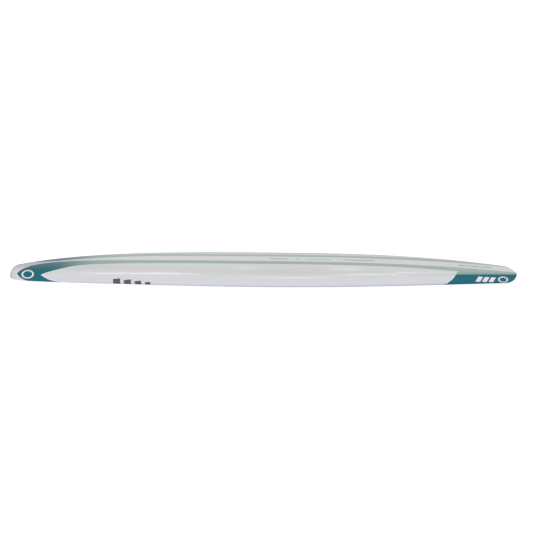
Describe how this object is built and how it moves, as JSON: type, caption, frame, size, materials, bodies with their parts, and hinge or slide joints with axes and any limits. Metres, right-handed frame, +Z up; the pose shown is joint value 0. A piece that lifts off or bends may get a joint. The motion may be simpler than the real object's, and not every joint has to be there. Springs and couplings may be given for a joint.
{
  "type": "stand up paddleboard",
  "caption": "Rigid stand up paddleboard, hull side up, with a foam core under a glossy laminate, a fin box, a carry handle, a leash plug, a vent and a grooved deck pad.",
  "frame": {"origin": "centre of the board's box, on the floor that its deck rests on at the nose and the tail", "axes": "+X runs from the nose to the tail, +Y across the board, +Z up, out of the hull: the board lies deck down, as shown"},
  "size_m": [3.505, 0.787, 0.1381],
  "materials": {
    "gloss_skin": "gloss",
    "foam_core": "matte",
    "hard_foam": "matte",
    "stringer_wood": "satin",
    "black_plastic": "satin",
    "white_plastic": "satin",
    "grip_rubber": "matte",
    "eva_pad": "matte",
    "steel_pin": "satin",
    "brass_screw": "satin",
    "seal_rubber": "matte"
  },
  "bodies": {
    "board": {"hull_skin": "gloss_skin", "deck_skin": "gloss_skin", "core_port": "foam_core", "core_starboard": "foam_core", "stringer": "stringer_wood", "stance_panel": "hard_foam", "fin_box_block": "hard_foam", "fin_box": "white_plastic", "handle_block": "hard_foam", "handle_cup": "black_plastic", "handle_grip": "grip_rubber", "leash_plug_block": "hard_foam", "leash_plug_cup": "black_plastic", "leash_plug_pin": "steel_pin", "vent_block": "hard_foam", "vent_housing": "white_plastic", "deck_pad_front": "eva_pad", "deck_pad_middle": "eva_pad", "deck_pad_rear": "eva_pad"},
    "vent_seal": {"vent_o_ring": "seal_rubber"},
    "vent_plug": {"vent_screw": "brass_screw"}
  },
  "joints": [
    {"name": "vent_lift", "type": "slide", "parent": "board", "child": "vent_seal", "axis": [0, 0, -1], "range_m": [0, 0.003]},
    {"name": "vent_turn", "type": "hinge", "parent": "vent_seal", "child": "vent_plug", "pos_m": [-0.9525, 0, 0.0135], "axis": [0, 0, -1], "range_deg": [0, 720]}
  ],
  "couplings": [
    {"joint": "vent_turn", "follows": "vent_lift", "rad_per_m": 4188.8}
  ]
}
